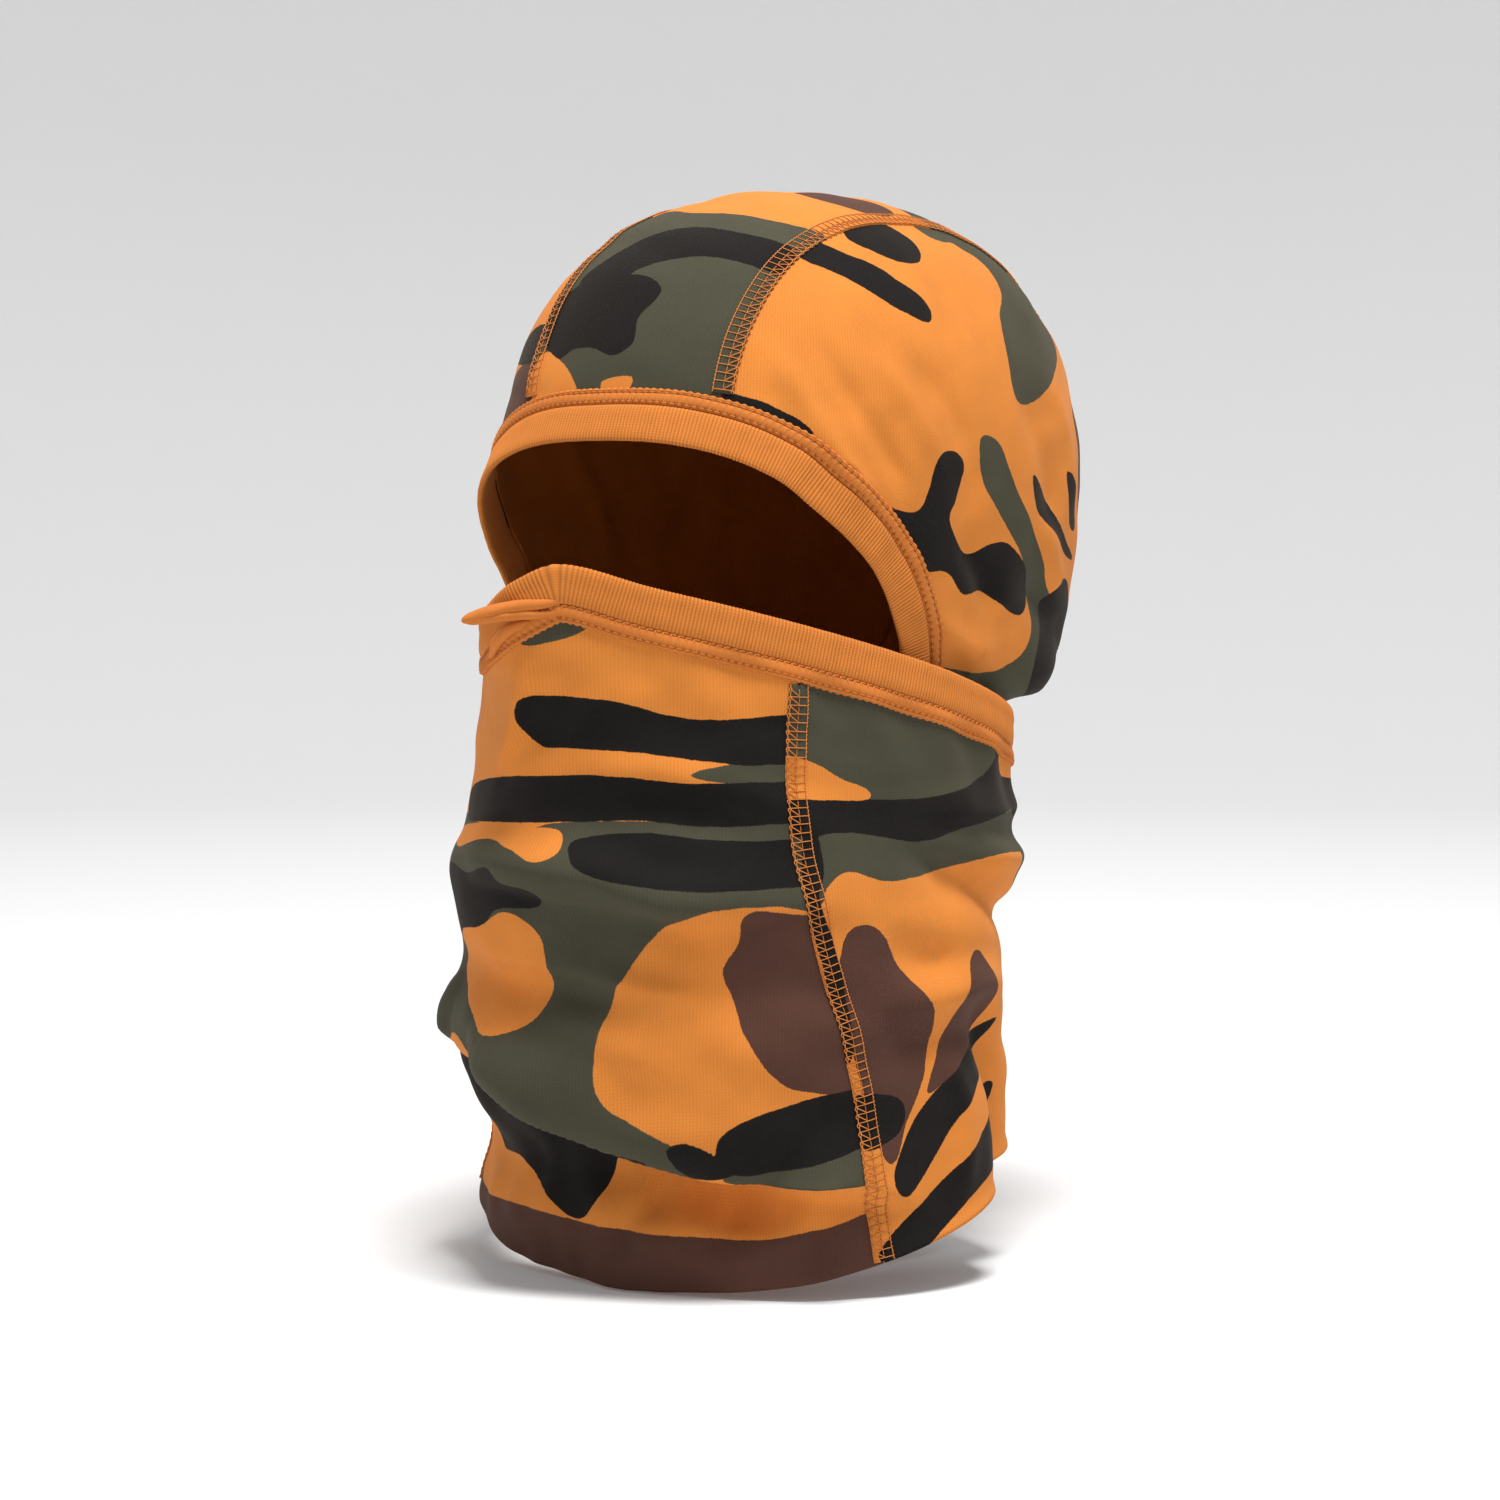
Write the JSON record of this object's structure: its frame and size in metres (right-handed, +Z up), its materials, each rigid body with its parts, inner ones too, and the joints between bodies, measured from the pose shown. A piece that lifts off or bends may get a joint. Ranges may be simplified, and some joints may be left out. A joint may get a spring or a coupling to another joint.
{
  "type": "balaclava face mask",
  "caption": "Printed jersey balaclava: a hood with a bound face opening and a neck tube whose rib-topped front pulls up over the nose or down below the chin",
  "frame": {"origin": "middle of the wearer's head, midway between the temples at eye height", "axes": "+Z up through the crown, -Y out through the face opening, +X to the wearer's left"},
  "size_m": [0.1754, 0.2502, 0.3347],
  "materials": {
    "printed_jersey": "matt cotton jersey printed with orange, olive, black and brown camouflage shapes",
    "rib_trim": "matt orange cotton rib knit",
    "seam_thread": "orange spun thread with a slight sheen"
  },
  "bodies": {
    "hood": {"crown_panel": "printed_jersey", "hood_left_side": "printed_jersey", "hood_right_side": "printed_jersey", "face_binding": "rib_trim", "binding_cover_stitch": "seam_thread", "crown_seam_left": "seam_thread", "crown_seam_right": "seam_thread", "gaiter_front_panel": "printed_jersey", "gaiter_back_panel": "printed_jersey", "gaiter_seam_left": "seam_thread", "gaiter_seam_right": "seam_thread", "neck_join_seam": "seam_thread"},
    "mask_band": {"mask_top_band": "rib_trim", "band_cover_stitch": "seam_thread", "nose_tuck": "rib_trim"}
  },
  "joints": [
    {"name": "mask_pull_down", "type": "hinge", "parent": "hood", "child": "mask_band", "pos_m": [0, 0.0585, -0.0625], "axis": [1, 0, 0], "range_deg": [0, 35], "deforming": ["gaiter_front_panel", "gaiter_back_panel", "gaiter_seam_left", "gaiter_seam_right"]}
  ]
}
